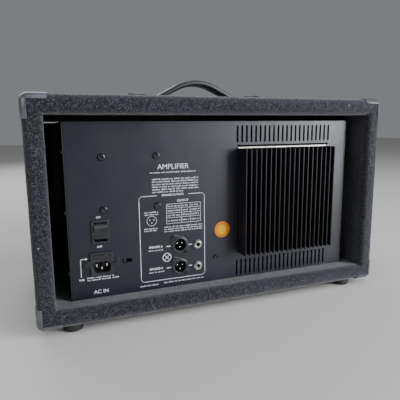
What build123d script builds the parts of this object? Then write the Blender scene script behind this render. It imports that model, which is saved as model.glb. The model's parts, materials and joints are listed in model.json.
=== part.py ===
import os
from math import cos, radians, sin

from build123d import *

# Guitar amp head, seen with its open back: +Z up, the front faces -Y, the back faces +Y.
# The origin is on the surface the feet stand on, under the middle of the cabinet. Millimetres.

# ---- cabinet ----
width, depth, height = 550, 289, 306  # over the carpet, without the feet
foot_height, foot_radius = 12, 14
carpet = 3
board = 19
edge_radius = 9  # of the carpeted outer edges
rear_wrap, front_wrap = 57.5, 21.5  # how far the carpet turns into the two openings
protector_skin, protector_arm, protector_lip = 1.2, 31, 7

bottom, top = foot_height, foot_height + height  # outer faces, over the carpet
half_w, half_d = width / 2, depth / 2
inner_half_w = half_w - carpet - board  # bare inside faces of the boards
inner_bottom, inner_top = bottom + carpet + board, top - carpet - board

# ---- chassis and panels ----
steel = 1.5
rear_face_y = 115.5  # outer face of the rear panel
rear_inner_y = rear_face_y - steel
rear_half_w = 226.4
rear_low, rear_high = 37.6, 284
front_face_y, front_thick = -120, 2  # outer face of the front panel
front_back_y = front_face_y + front_thick
front_half_w = 246
front_low, front_high = 37.6, 284.6
tray_half_w = 228.5
tray_low = inner_bottom + carpet
tray_high = tray_low + steel
wing_depth, wing_high, kerb_high = 66.5, 282.5, 78

# ---- rear fittings: X, Z of each centre ----
inlet_x, inlet_z = 185, 87.5
inlet_half_w, inlet_half_h = 14.2, 15.2  # body behind the panel
rocker_x, rocker_z = 185, 133
selector_x, selector_z = 149, 87
selector_half_w, selector_half_h = 7.25, 3
speaker_rows = (102, 68)  # Z of outputs A and B
xlr_x = 69
jack_x, jack_drop = 40.6, 2.3  # the jacks sit a little below the middle of the XLRs
transformer_x, transformer_z = 140.3, 200.1
bolt_span_x, bolt_span_z = 77, 72.6
sticker_x, sticker_z, sticker_radius = -0.8, 118.6, 12.75
small_screw = (9.8, 76)
vent_count, vent_pitch, vent_first_x = 22, 7.94, -26.2
vent_width, vent_length = 3.2, 25.6
vent_rows = (264.8, 53.8)
slot_x, slot_z, slot_length, slot_width = -109.5, 247, 163, 2.2

# ---- heat sink ----
sink_x, sink_half_w, sink_ear = -107.8, 80.3, 12
sink_low, sink_high, fin_high = 79, 244.8, 243.3
sink_base_y, sink_front_y, fin_tip_y = 104, 116.5, 142.5
fin_count, fin_thick = 20, 2.4

# ---- front controls: X of each, and Z of the row ----
control_z = 226
knob_names = ("gain", "bass", "middle", "treble", "presence", "reverb", "volume", "master")
knob_first_x, knob_pitch = -102, 38
button_names = {"bright": -136, "channel": 188}
input_x = (-212, -176)
lamp_x = 217
shaft_radius, shaft_fit = 3, 0.05
jack_bore, jack_thread = 3.2, 4.7


# ---- helpers: each one works in the part that is open ----
def block(x0, x1, y0, y1, z0, z1, mode=Mode.ADD):
    """A box between two corners."""
    with Locations(((x0 + x1) / 2, (y0 + y1) / 2, (z0 + z1) / 2)):
        Box(abs(x1 - x0), abs(y1 - y0), abs(z1 - z0), mode=mode)


def x_rod(y, z, radius, x0, x1, mode=Mode.ADD):
    """A cylinder along X."""
    with Locations(Location(((x0 + x1) / 2, y, z), (0, 90, 0))):
        Cylinder(radius, abs(x1 - x0), mode=mode)


def y_rod(x, z, radius, y0, y1, mode=Mode.ADD):
    """A cylinder along Y."""
    with Locations(Location((x, (y0 + y1) / 2, z), (90, 0, 0))):
        Cylinder(radius, abs(y1 - y0), mode=mode)


def z_rod(x, y, radius, z0, z1, mode=Mode.ADD):
    """A cylinder along Z."""
    with Locations((x, y, (z0 + z1) / 2)):
        Cylinder(radius, abs(z1 - z0), mode=mode)


def facing(y):
    """The plane at this Y whose local x, y are the row's X, Z; extruding goes towards -Y."""
    return Plane.XZ.offset(-y)


def y_hex(x, z, across_flats, y0, y1, mode=Mode.ADD):
    """A hexagonal prism along Y."""
    with BuildSketch(facing(max(y0, y1))) as hexagon:
        with Locations((x, z)):
            RegularPolygon(across_flats / 2, 6, major_radius=False)
    extrude(hexagon.sketch, amount=abs(y1 - y0), mode=mode)


def pan_screw_y(x, z, radius, head_radius, head_height, face_y, end_y):
    """A pan-head screw along Y, with a cross slot, whose head stands on face_y."""
    outward = 1 if face_y > end_y else -1
    y_rod(x, z, radius, end_y, face_y)
    y_rod(x, z, head_radius, face_y, face_y + outward * head_height)
    crown = face_y + outward * head_height
    arm, half = head_radius * 0.6, radius * 0.22
    block(x - arm, x + arm, crown - outward * head_height * 0.5, crown, z - half, z + half, Mode.SUBTRACT)
    block(x - half, x + half, crown - outward * head_height * 0.5, crown, z - arm, z + arm, Mode.SUBTRACT)


def save(piece, name):
    piece.part.label = name
    export_step(piece.part, f"parts/{name}.step")


def corners(x, y):
    """The four sign combinations of x and y."""
    return [(sx * x, sy * y) for sx in (-1, 1) for sy in (-1, 1)]


os.makedirs("parts", exist_ok=True)

middle_z = (bottom + top) / 2
foot_spots = corners(half_w - 46, half_d - 24.5)
leaf_screw_x, leaf_screw_y = half_w - 20, half_d - 20
leaf_screw_spots = corners(leaf_screw_x, leaf_screw_y)
leaf_screw_levels = (bottom + 20, top - 20)
leaf_screw_radius = 1.5
leaf_screw_length, leaf_head_radius, leaf_head_height = 15, 3.2, 0.5
foot_screw_radius = 2
handle_screw_spots = corners(113.5, 10)
handle_screw_radius = 2.5
chassis_bolt_spots = [(x, y) for x in (-190, 190) for y in (-80, 60)]
chassis_bolt_radius = 2.5


# ---- cabinet: boards, carpet, protectors, feet ----
with BuildPart() as outer_form:
    with Locations((0, 0, middle_z)):
        Box(width, depth, height)
    fillet(outer_form.edges(), edge_radius)

with BuildPart() as carcass_form:
    with Locations((0, 0, middle_z)):
        Box(width - 2 * carpet, depth - 2 * carpet, height - 2 * carpet)
    fillet(carcass_form.edges(), edge_radius - carpet)
    block(-inner_half_w, inner_half_w, -half_d, half_d, inner_bottom, inner_top, Mode.SUBTRACT)

side_screw_depth = half_w - leaf_screw_length - 2
with BuildPart() as top_board:
    block(-half_w, half_w, -half_d, half_d, inner_top, top)
    add(carcass_form.part, mode=Mode.INTERSECT)
    for x, y in handle_screw_spots:
        z_rod(x, y, handle_screw_radius, inner_top, top, Mode.SUBTRACT)
    for x, y in leaf_screw_spots:
        z_rod(x, y, leaf_screw_radius, top - leaf_screw_length - 2, top, Mode.SUBTRACT)
        x_rod(y, leaf_screw_levels[1], leaf_screw_radius,
              side_screw_depth * (1 if x > 0 else -1), half_w * (1 if x > 0 else -1), Mode.SUBTRACT)
save(top_board, "top_board")

with BuildPart() as bottom_board:
    block(-half_w, half_w, -half_d, half_d, bottom, inner_bottom)
    add(carcass_form.part, mode=Mode.INTERSECT)
    for x, y in foot_spots:
        z_rod(x, y, foot_screw_radius, bottom, bottom + 16, Mode.SUBTRACT)
    for x, y in leaf_screw_spots:
        z_rod(x, y, leaf_screw_radius, bottom, bottom + leaf_screw_length + 2, Mode.SUBTRACT)
        x_rod(y, leaf_screw_levels[0], leaf_screw_radius,
              side_screw_depth * (1 if x > 0 else -1), half_w * (1 if x > 0 else -1), Mode.SUBTRACT)
    for x, y in chassis_bolt_spots:
        z_rod(x, y, chassis_bolt_radius, bottom, inner_bottom, Mode.SUBTRACT)
save(bottom_board, "bottom_board")

for side, name in ((-1, "left_side_board"), (1, "right_side_board")):
    with BuildPart() as side_board:
        block(side * inner_half_w, side * half_w, -half_d, half_d, inner_bottom, inner_top)
        add(carcass_form.part, mode=Mode.INTERSECT)
    save(side_board, name)

with BuildPart() as carpet_covering:
    add(outer_form.part)
    add(carcass_form.part, mode=Mode.SUBTRACT)
    lined_w = inner_half_w - carpet
    block(-lined_w, lined_w, -half_d, half_d, tray_low, inner_top - carpet, Mode.SUBTRACT)
    block(-inner_half_w, inner_half_w, -half_d + carpet + front_wrap, half_d - rear_wrap,
          tray_low, inner_top, Mode.SUBTRACT)
    for x, y in handle_screw_spots:
        z_rod(x, y, handle_screw_radius, top - 2 * carpet, top, Mode.SUBTRACT)
    for x, y in foot_spots:
        z_rod(x, y, foot_screw_radius, bottom, bottom + carpet, Mode.SUBTRACT)
    for x, y in chassis_bolt_spots:
        z_rod(x, y, chassis_bolt_radius, bottom, tray_low, Mode.SUBTRACT)
    for x, y in leaf_screw_spots:
        z_rod(x, y, leaf_screw_radius, top - carpet, top, Mode.SUBTRACT)
        z_rod(x, y, leaf_screw_radius, bottom, bottom + carpet, Mode.SUBTRACT)
    for y in (-leaf_screw_y, leaf_screw_y):
        for z in leaf_screw_levels:
            for side in (-1, 1):
                x_rod(y, z, leaf_screw_radius, side * (half_w - carpet), side * half_w, Mode.SUBTRACT)
save(carpet_covering, "carpet_covering")

# Each protector is a skin over one corner, with rounded leaves and a short lip on the open faces.
leaf, leaf_corner = 2 * (protector_arm + protector_skin), 11
skin_half = (half_w + protector_skin, half_d + protector_skin, height / 2 + protector_skin)
with BuildPart() as corner_protectors:
    with Locations((0, 0, middle_z)):
        Box(2 * skin_half[0], 2 * skin_half[1], 2 * skin_half[2])
    fillet(corner_protectors.edges(), edge_radius + protector_skin)
    add(outer_form.part, mode=Mode.SUBTRACT)
    with BuildSketch(Plane.XY):
        with Locations(*corners(skin_half[0], skin_half[1])):
            RectangleRounded(leaf, leaf, leaf_corner)
    extrude(amount=top + protector_skin + 1, mode=Mode.INTERSECT)
    with BuildSketch(facing(half_d + 5)):
        with Locations(*[(x, middle_z + z) for x, z in corners(skin_half[0], skin_half[2])]):
            RectangleRounded(leaf, leaf, leaf_corner)
    extrude(amount=depth + 10, mode=Mode.INTERSECT)
    with BuildSketch(Plane.YZ.offset(-half_w - 5)):
        with Locations(*[(y, middle_z + z) for y, z in corners(skin_half[1], skin_half[2])]):
            RectangleRounded(leaf, leaf, leaf_corner)
    extrude(amount=width + 10, mode=Mode.INTERSECT)
    block(-half_w + protector_lip, half_w - protector_lip, -half_d - 5, half_d + 5,
          bottom + protector_lip, top - protector_lip, Mode.SUBTRACT)
    for x, y in leaf_screw_spots:
        z_rod(x, y, leaf_screw_radius, 0, top + 5, Mode.SUBTRACT)
    for y in (-leaf_screw_y, leaf_screw_y):
        for z in leaf_screw_levels:
            x_rod(y, z, leaf_screw_radius, -half_w - 5, half_w + 5, Mode.SUBTRACT)
save(corner_protectors, "corner_protectors")

foot_recess = 6  # depth of the screw's recess in the foot
with BuildPart() as rubber_feet:
    for x, y in foot_spots:
        z_rod(x, y, foot_radius, 0, foot_height)
    fillet(rubber_feet.edges().group_by(Axis.Z)[0], 3)
    for x, y in foot_spots:
        z_rod(x, y, 5.5, 0, foot_recess, Mode.SUBTRACT)
        z_rod(x, y, foot_screw_radius, 0, foot_height, Mode.SUBTRACT)
save(rubber_feet, "rubber_feet")

with BuildPart() as wood_screws:
    for x, y in foot_spots:
        z_rod(x, y, foot_screw_radius, foot_recess, bottom + 15)
        z_rod(x, y, 4.5, foot_recess - 3, foot_recess)
    for x, y in leaf_screw_spots:
        z_rod(x, y, leaf_screw_radius, top - leaf_screw_length, top + protector_skin)
        z_rod(x, y, leaf_head_radius, top + protector_skin, top + protector_skin + leaf_head_height)
        z_rod(x, y, leaf_screw_radius, bottom - protector_skin, bottom + leaf_screw_length)
        z_rod(x, y, leaf_head_radius, bottom - protector_skin - leaf_head_height, bottom - protector_skin)
    for y in (-leaf_screw_y, leaf_screw_y):
        for z in leaf_screw_levels:
            for side in (-1, 1):
                face = side * (half_w + protector_skin)
                x_rod(y, z, leaf_screw_radius, side * (half_w - leaf_screw_length), face)
                x_rod(y, z, leaf_head_radius, face, face + side * leaf_head_height)
save(wood_screws, "wood_screws")

batten, rail = 18, 9.2
panel_screw_radius = 1.75
panel_screws_at = [(x, z) for x in (-240, 240) for z in (60, 161, 262)]
with BuildPart() as front_battens:
    for side in (-1, 1):
        block(side * (inner_half_w - batten), side * inner_half_w,
              front_back_y, front_back_y + batten, tray_low, front_high - 0.6)
    block(-inner_half_w, inner_half_w, front_back_y, front_back_y + batten, inner_top - rail, inner_top)
    for x, z in panel_screws_at:
        y_rod(x, z, panel_screw_radius, front_back_y, front_back_y + 15, Mode.SUBTRACT)
save(front_battens, "front_battens")

# ---- handle: an arched strap whose ends slide up inside two caps ----
strap_half_w, strap_end = 15, 106
strap_end_edge = 6  # longer than the short edges at the ends, which stay sharp
cap_mouth, cap_end, cap_half_w, cap_height, pocket_roof = 86, 121, 20, 10.2, 8
with BuildPart() as handle_end_caps:
    for side in (-1, 1):
        block(side * cap_mouth, side * cap_end, -cap_half_w, cap_half_w, top, top + cap_height)
    fillet(handle_end_caps.edges().filter_by(Axis.Z), 6)
    fillet(handle_end_caps.edges().group_by(Axis.Z)[-1], 2)
    for side in (-1, 1):
        block(side * (cap_mouth - 1), side * (strap_end + 2), -strap_half_w - 0.6, strap_half_w + 0.6,
              top, top + pocket_roof, Mode.SUBTRACT)
    for x, y in handle_screw_spots:
        z_rod(x, y, handle_screw_radius, top, top + cap_height, Mode.SUBTRACT)
save(handle_end_caps, "handle_end_caps")

with BuildPart() as handle_screws:
    for x, y in handle_screw_spots:
        z_rod(x, y, handle_screw_radius, inner_top + 1, top + cap_height)
        z_rod(x, y, 4.6, top + cap_height, top + cap_height + 1.6)
    fillet(handle_screws.edges().group_by(Axis.Z)[-1], 0.8)
save(handle_screws, "handle_screws")

with BuildPart() as handle_strap:
    with BuildSketch(facing(strap_half_w)):
        with BuildLine():
            over = FilletPolyline((-strap_end, top + 5), (-77, top + 5), (0, top + 46.5),
                                  (77, top + 5), (strap_end, top + 5), radius=(60, 80, 60))
            under = FilletPolyline((-strap_end, top + 1), (-69, top + 1), (0, top + 33),
                                   (69, top + 1), (strap_end, top + 1), radius=(60, 70, 60))
            Line(over @ 0, under @ 0)
            Line(over @ 1, under @ 1)
        make_face()
    extrude(amount=2 * strap_half_w)
    edges_by_y = handle_strap.edges().group_by(Axis.Y)
    fillet([e for e in edges_by_y[0] + edges_by_y[-1] if e.length > strap_end_edge], 1.8)
save(handle_strap, "handle_strap")


# ---- chassis, panels and their screws ----
wing_screw_levels = (75, 160, 245)
wing_screw_y = 106
kerb_screws_at = [(x, 58) for x in (-180, 0, 180)]
standoff_spots = [(x, y) for x in (-192, -28) for y in (-22, 84)]
with BuildPart() as chassis_tray:
    block(-tray_half_w, tray_half_w, front_back_y, rear_inner_y, tray_low, tray_high)
    block(-tray_half_w, tray_half_w, front_back_y, front_back_y + steel, tray_low, kerb_high)
    for side in (-1, 1):
        skin = (side * (tray_half_w - steel), side * tray_half_w)
        block(*skin, front_back_y, rear_inner_y, tray_low, kerb_high)
        block(*skin, rear_face_y - wing_depth, rear_face_y, tray_low, wing_high)
        for z in wing_screw_levels:
            x_rod(wing_screw_y, z, panel_screw_radius, side * 220, side * 240, Mode.SUBTRACT)
    for x, y in chassis_bolt_spots:
        z_rod(x, y, chassis_bolt_radius, tray_low, tray_high, Mode.SUBTRACT)
    for x, z in kerb_screws_at:
        y_rod(x, z, panel_screw_radius, front_back_y - 5, front_back_y + 5, Mode.SUBTRACT)
save(chassis_tray, "chassis_tray")

with BuildPart() as chassis_bolts:
    for x, y in chassis_bolt_spots:
        z_rod(x, y, chassis_bolt_radius, bottom, tray_high + 6)
        z_rod(x, y, 6, bottom - 3, bottom)
        with BuildSketch(Plane.XY.offset(tray_high)):
            with Locations((x, y)):
                RegularPolygon(4, 6, major_radius=False)
                Circle(chassis_bolt_radius, mode=Mode.SUBTRACT)
        extrude(amount=4)
save(chassis_bolts, "chassis_bolts")

transformer_bolts_at = [(transformer_x + x, transformer_z + z)
                        for x, z in corners(bolt_span_x / 2, bolt_span_z / 2)]
xlr_screw_offsets = ((9.5, 12), (-9.5, -12))
xlr_screws_at = [(xlr_x + x, row + z) for row in speaker_rows for x, z in xlr_screw_offsets]
inlet_screw_span = 40
inlet_screws_at = [(inlet_x + side * inlet_screw_span / 2, inlet_z) for side in (-1, 1)]
speaker_jacks_at = [(jack_x, row - jack_drop) for row in speaker_rows]
input_jacks_at = [(x, control_z) for x in input_x]
stud_radius = 2
stud_spots = [(sink_x + x, z) for x in (-sink_half_w - 6, sink_half_w + 6) for z in (100, 222)]
with BuildPart() as rear_panel:
    block(-rear_half_w, rear_half_w, rear_inner_y, rear_face_y, rear_low, rear_high)
    with BuildSketch(facing(rear_face_y)):
        vents = [(vent_first_x - i * vent_pitch, z) for i in range(vent_count) for z in vent_rows]
        with Locations(*vents):
            SlotOverall(vent_length, vent_width, rotation=90)
        with Locations((slot_x, slot_z)):
            Rectangle(slot_length, slot_width)
        with Locations((slot_x - slot_length / 2, slot_z), (slot_x + slot_length / 2, slot_z)):
            Circle(1.9)
        with Locations((sink_x, (sink_low + sink_high) / 2)):
            Rectangle(2 * sink_half_w + 1, sink_high - sink_low + 0.8)
        with Locations((inlet_x, inlet_z)):
            Rectangle(2 * inlet_half_w, 2 * inlet_half_h)
        with Locations((rocker_x, rocker_z)):
            Rectangle(21.6, 30.2)
        with Locations((selector_x, selector_z)):
            Rectangle(2 * selector_half_w, 2 * selector_half_h)
        with Locations(*[(xlr_x, row) for row in speaker_rows]):
            Circle(11.2)
        with Locations(*speaker_jacks_at):
            Circle(jack_thread)
        with Locations(*transformer_bolts_at):
            Circle(2.5)
        with Locations(*xlr_screws_at, *inlet_screws_at, small_screw):
            Circle(1.5)
        with Locations((206.2, 62.8)):
            Circle(1.2)
    extrude(amount=steel, mode=Mode.SUBTRACT)
save(rear_panel, "rear_panel")

# The lid lies on the wings; the two strips behind the rear panel take the screws through them.
with BuildPart() as chassis_cover:
    block(-tray_half_w, tray_half_w, front_back_y, rear_inner_y, wing_high, wing_high + steel)
    for side in (-1, 1):
        block(side * (tray_half_w - 2 * steel), side * (tray_half_w - steel),
              rear_inner_y - 14, rear_inner_y, 60, 270)
        for z in wing_screw_levels:
            x_rod(wing_screw_y, z, panel_screw_radius, side * 220, side * 240, Mode.SUBTRACT)
save(chassis_cover, "chassis_cover")

with BuildPart() as front_panel:
    block(-front_half_w, front_half_w, front_face_y, front_back_y, front_low, front_high)
    with BuildSketch(facing(front_back_y)):
        with Locations(*[(x, z) for x in range(-156, 157, 12) for z in (92, 128, 164)]):
            SlotOverall(28, 4, rotation=90)
        with Locations(*[(knob_first_x + i * knob_pitch, control_z) for i in range(len(knob_names))]):
            Circle(4.5)
        with Locations(*input_jacks_at):
            Circle(jack_thread)
        with Locations(*[(x, control_z) for x in button_names.values()]):
            Circle(4.3)
        with Locations((lamp_x, control_z)):
            Circle(4)
        with Locations(*panel_screws_at, *kerb_screws_at):
            Circle(panel_screw_radius)
    extrude(amount=front_thick, mode=Mode.SUBTRACT)
save(front_panel, "front_panel")

with BuildPart() as panel_screws:
    for spots, length in ((panel_screws_at, 16), (kerb_screws_at, 8)):
        for x, z in spots:
            pan_screw_y(x, z, panel_screw_radius, 4, 2, front_face_y, front_face_y + length)
    pan_screw_y(*small_screw, 1.5, 3.6, 2.1, rear_face_y, rear_face_y - 8)
    for side in (-1, 1):
        for z in wing_screw_levels:
            x_rod(wing_screw_y, z, panel_screw_radius, side * (tray_half_w - 8), side * tray_half_w)
            x_rod(wing_screw_y, z, 4, side * tray_half_w, side * (tray_half_w + 2))
save(panel_screws, "panel_screws")


# ---- heat sink and output stage ----
transistor_count, transistor_pitch, transistor_z = 8, 19, 84
board_low, board_high = tray_high + 12, tray_high + 13.6
sink_x0, sink_x1 = sink_x - sink_half_w, sink_x + sink_half_w
with BuildPart() as heat_sink:
    block(sink_x0 - sink_ear, sink_x1 + sink_ear, sink_base_y, rear_inner_y, sink_low, sink_high)
    block(sink_x0, sink_x1, rear_inner_y, sink_front_y, sink_low, sink_high)
    fin_pitch = (2 * sink_half_w - fin_thick) / (fin_count - 1)
    for i in range(fin_count):
        fin_x = sink_x0 + i * fin_pitch
        block(fin_x, fin_x + fin_thick, sink_front_y, fin_tip_y, sink_low, fin_high)
    for x, z in stud_spots:
        y_rod(x, z, stud_radius, sink_base_y, rear_inner_y, Mode.SUBTRACT)
save(heat_sink, "heat_sink")

with BuildPart() as heat_sink_studs:
    for x, z in stud_spots:
        y_rod(x, z, stud_radius, sink_base_y - 7, rear_inner_y)
        y_hex(x, z, 7, sink_base_y - 3.2, sink_base_y)
save(heat_sink_studs, "heat_sink_studs")

transistor_x = [sink_x + (i - (transistor_count - 1) / 2) * transistor_pitch
                for i in range(transistor_count)]
with BuildPart() as power_transistors:
    for x in transistor_x:
        block(x - 7.8, x + 7.8, sink_base_y - 5, sink_base_y, transistor_z, transistor_z + 21)
        for lead in (-5.4, 0, 5.4):
            block(x + lead - 0.5, x + lead + 0.5, sink_base_y - 3, sink_base_y - 2, board_high, transistor_z)
save(power_transistors, "power_transistors")

with BuildPart() as transistor_clamp_bar:
    block(transistor_x[0] - 12, transistor_x[-1] + 12, sink_base_y - 8, sink_base_y - 5,
          transistor_z + 8, transistor_z + 18)
save(transistor_clamp_bar, "transistor_clamp_bar")

with BuildPart() as power_amp_board:
    block(-200, -20, -30, 101.6, board_low, board_high)
    for x, y in standoff_spots:
        z_rod(x, y, 1.6, board_low, board_high, Mode.SUBTRACT)
save(power_amp_board, "power_amp_board")

with BuildPart() as board_standoffs:
    for x, y in standoff_spots:
        with BuildSketch(Plane.XY.offset(tray_high)):
            with Locations((x, y)):
                RegularPolygon(3, 6, major_radius=False)
        extrude(amount=board_low - tray_high)
        z_rod(x, y, 1.6, board_low, board_high)
        z_rod(x, y, 3, board_high, board_high + 2)
save(board_standoffs, "board_standoffs")

with BuildPart() as filter_capacitors:
    for x in (-176, -132, -88, -44):
        z_rod(x, 10, 17.5, board_high, board_high + 50)
    fillet(filter_capacitors.edges().group_by(Axis.Z)[-1], 2)
save(filter_capacitors, "filter_capacitors")


# ---- mains transformer, hung on the rear panel by four bolts with spacers ----
core_half_w, core_half_h, core_y0, core_y1 = 47, 45, 60, 100
leg, limb, yoke = 16, 16, 15
winding_half_w, winding_half_h = 30.6, 29.6
with BuildPart() as transformer_core:
    block(transformer_x - core_half_w, transformer_x + core_half_w, core_y0, core_y1,
          transformer_z - core_half_h, transformer_z + core_half_h)
    for side in (-1, 1):
        block(transformer_x + side * limb, transformer_x + side * (core_half_w - leg), core_y0, core_y1,
              transformer_z - core_half_h + yoke, transformer_z + core_half_h - yoke, Mode.SUBTRACT)
    for x, z in transformer_bolts_at:
        y_rod(x, z, 2.5, core_y0, core_y1, Mode.SUBTRACT)
save(transformer_core, "transformer_core")

with BuildPart() as transformer_winding:
    block(transformer_x - winding_half_w, transformer_x + winding_half_w, core_y0 - 13, core_y1 + 13,
          transformer_z - winding_half_h, transformer_z + winding_half_h)
    fillet(transformer_winding.edges().filter_by(Axis.Z), 8)
    block(transformer_x - limb - 0.2, transformer_x + limb + 0.2, core_y0 - 0.2, core_y1 + 0.2,
          transformer_z - winding_half_h, transformer_z + winding_half_h, Mode.SUBTRACT)
save(transformer_winding, "transformer_winding")

with BuildPart() as transformer_bolts:
    for x, z in transformer_bolts_at:
        y_rod(x, z, 2.5, core_y0 - 8, rear_face_y)
        y_rod(x, z, 5, rear_face_y, rear_face_y + 3)
        y_hex(x, z, 8, core_y0 - 4, core_y0)
    fillet(transformer_bolts.edges().group_by(Axis.Y)[-1], 2)
save(transformer_bolts, "transformer_bolts")

with BuildPart() as transformer_spacers:
    for x, z in transformer_bolts_at:
        y_rod(x, z, 5.5, core_y1, rear_inner_y)
        y_rod(x, z, 2.5, core_y1, rear_inner_y, Mode.SUBTRACT)
save(transformer_spacers, "transformer_spacers")

with BuildPart() as bridge_rectifier:
    block(60, 88.5, 20, 48.5, tray_high, tray_high + 10)
    for x, y in ((65, 25), (83.5, 25), (65, 43.5), (83.5, 43.5)):
        block(x - 0.4, x + 0.4, y - 3.2, y + 3.2, tray_high + 10, tray_high + 18)
save(bridge_rectifier, "bridge_rectifier")


# ---- mains inlet with its fuse drawer, rocker switch, voltage selector ----
flange_thick = 2.5
inlet_front_y, inlet_rear_y = rear_face_y + flange_thick, 84
socket_z, socket_half_w, socket_half_h = inlet_z - 5, 12.2, 8.2
drawer_z, drawer_half_w, drawer_half_h, drawer_back_y = inlet_z + 9.6, 11, 3.4, 92
socket_depth = 17.5
pin_spots = [(inlet_x + x, socket_z + z) for x, z in ((-7, 2), (0, -2), (7, 2))]
with BuildPart() as mains_inlet:
    with BuildSketch(facing(inlet_front_y)):
        with Locations((inlet_x, inlet_z)):
            RectangleRounded(31.5, 32.5, 2)
        with Locations(*inlet_screws_at):
            Circle(5)
        with Locations((inlet_x, inlet_z)):
            Rectangle(inlet_screw_span, 10)
        with Locations(*inlet_screws_at):
            Circle(1.5, mode=Mode.SUBTRACT)
    extrude(amount=flange_thick)
    block(inlet_x - inlet_half_w, inlet_x + inlet_half_w, inlet_rear_y, rear_face_y,
          inlet_z - inlet_half_h, inlet_z + inlet_half_h)
    with BuildSketch(facing(inlet_front_y)) as socket_mouth:
        with Locations((inlet_x, socket_z)):
            Rectangle(2 * socket_half_w, 2 * socket_half_h)
        chamfer(socket_mouth.vertices().group_by(Axis.Z)[0], 4)
    extrude(amount=socket_depth, mode=Mode.SUBTRACT)
    block(inlet_x - drawer_half_w - 0.3, inlet_x + drawer_half_w + 0.3, drawer_back_y - 0.5, inlet_front_y,
          drawer_z - drawer_half_h - 0.3, drawer_z + drawer_half_h + 0.3, Mode.SUBTRACT)
    for x, z in pin_spots:
        block(x - 1, x + 1, inlet_rear_y, inlet_front_y - socket_depth, z - 2, z + 2, Mode.SUBTRACT)
save(mains_inlet, "mains_inlet")

with BuildPart() as inlet_pins:
    for x, z in pin_spots:
        block(x - 1, x + 1, inlet_rear_y - 8, inlet_front_y - 3, z - 2, z + 2)
save(inlet_pins, "inlet_pins")

fuse_y, fuse_radius, fuse_half_l = 110, 2.6, 10
with BuildPart() as fuse_drawer:
    block(inlet_x - drawer_half_w, inlet_x + drawer_half_w, drawer_back_y, inlet_front_y + 0.6,
          drawer_z - drawer_half_h, drawer_z + drawer_half_h)
    block(inlet_x - 4, inlet_x + 4, inlet_front_y + 0.6, inlet_front_y + 2,
          drawer_z + drawer_half_h - 1.8, drawer_z + drawer_half_h)
    x_rod(fuse_y, drawer_z, fuse_radius, inlet_x - fuse_half_l, inlet_x + fuse_half_l, Mode.SUBTRACT)
    block(inlet_x - fuse_half_l, inlet_x + fuse_half_l, fuse_y - fuse_radius, fuse_y + fuse_radius,
          drawer_z, drawer_z + drawer_half_h, Mode.SUBTRACT)
    block(inlet_x - 8.5, inlet_x + 8.5, drawer_back_y + 2, fuse_y - 5,
          drawer_z - 1.5, drawer_z + drawer_half_h, Mode.SUBTRACT)
save(fuse_drawer, "fuse_drawer")

with BuildPart() as mains_fuse:
    x_rod(fuse_y, drawer_z, fuse_radius - 0.2, inlet_x - fuse_half_l, inlet_x + fuse_half_l)
    for side in (-1, 1):
        x_rod(fuse_y, drawer_z, fuse_radius, inlet_x + side * 4.5, inlet_x + side * fuse_half_l)
save(mains_fuse, "mains_fuse")

rocker_y = 112.2
rocker_rest = 9  # degrees that the top stands out at rest
with BuildPart() as rocker_frame:
    with BuildSketch(facing(rear_face_y + 2)):
        with Locations((rocker_x, rocker_z)):
            RectangleRounded(25, 33.5, 2.5)
    extrude(amount=2)
    fillet(rocker_frame.faces().sort_by(Axis.Y)[-1].edges(), 0.8)
    block(rocker_x - 10.8, rocker_x + 10.8, 90, rear_face_y, rocker_z - 15, rocker_z + 15)
    block(rocker_x - 9.3, rocker_x + 9.3, 94, rear_face_y + 2,
          rocker_z - 13.8, rocker_z + 13.8, Mode.SUBTRACT)
    x_rod(rocker_y, rocker_z, 1.55, rocker_x - 10.4, rocker_x + 10.4, Mode.SUBTRACT)
save(rocker_frame, "rocker_frame")

with BuildPart() as power_rocker:
    outward = (0, cos(radians(rocker_rest)), -sin(radians(rocker_rest)))
    with BuildSketch(Plane(origin=(rocker_x + 9, rocker_y, rocker_z), x_dir=outward, z_dir=(1, 0, 0))):
        with BuildLine():
            Polyline((7.8, 8), (5.4, 0), (7.8, -8), (1.5, -12.9), (-5, -8), (-5, 8), (1.5, 12.9), close=True)
        make_face()
    extrude(amount=-18)
    x_rod(rocker_y, rocker_z, 1.5, rocker_x - 10.2, rocker_x + 10.2)
save(power_rocker, "power_rocker")

with BuildPart() as selector_body:
    block(selector_x - 11, selector_x + 11, rear_inner_y - 10, rear_inner_y, selector_z - 6, selector_z + 6)
    block(selector_x - selector_half_w, selector_x + selector_half_w, rear_inner_y - 8, rear_inner_y,
          selector_z - selector_half_h, selector_z + selector_half_h, Mode.SUBTRACT)
save(selector_body, "selector_body")

slider_low, slider_high, slider_face_y = selector_z - 2.6, selector_z + 2.6, rear_inner_y - 1.5
with BuildPart() as selector_slider:
    block(selector_x + 0.7, selector_x + 6.9, rear_inner_y - 7.7, slider_face_y, slider_low, slider_high)
    block(selector_x + 3, selector_x + 4.6, slider_face_y, slider_face_y + 0.9, slider_low, slider_high)
save(selector_slider, "selector_slider")


# ---- speaker outputs ----
xlr_back_y, xlr_front_y = 92, rear_face_y + 3
with BuildPart() as xlr_shells:
    for row in speaker_rows:
        with BuildSketch(facing(rear_face_y + 1.6)):
            with Locations((xlr_x, row)):
                Circle(12.6)
            with Locations(*[(xlr_x + x, row + z) for x, z in xlr_screw_offsets]):
                Circle(4)
            make_hull()
        extrude(amount=1.6)
        y_rod(xlr_x, row, 11.2, xlr_back_y, xlr_front_y)
        y_rod(xlr_x, row, 9.4, xlr_back_y, xlr_front_y, Mode.SUBTRACT)
    for x, z in xlr_screws_at:
        y_rod(x, z, 1.5, rear_face_y, rear_face_y + 1.6, Mode.SUBTRACT)
save(xlr_shells, "xlr_shells")

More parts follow.
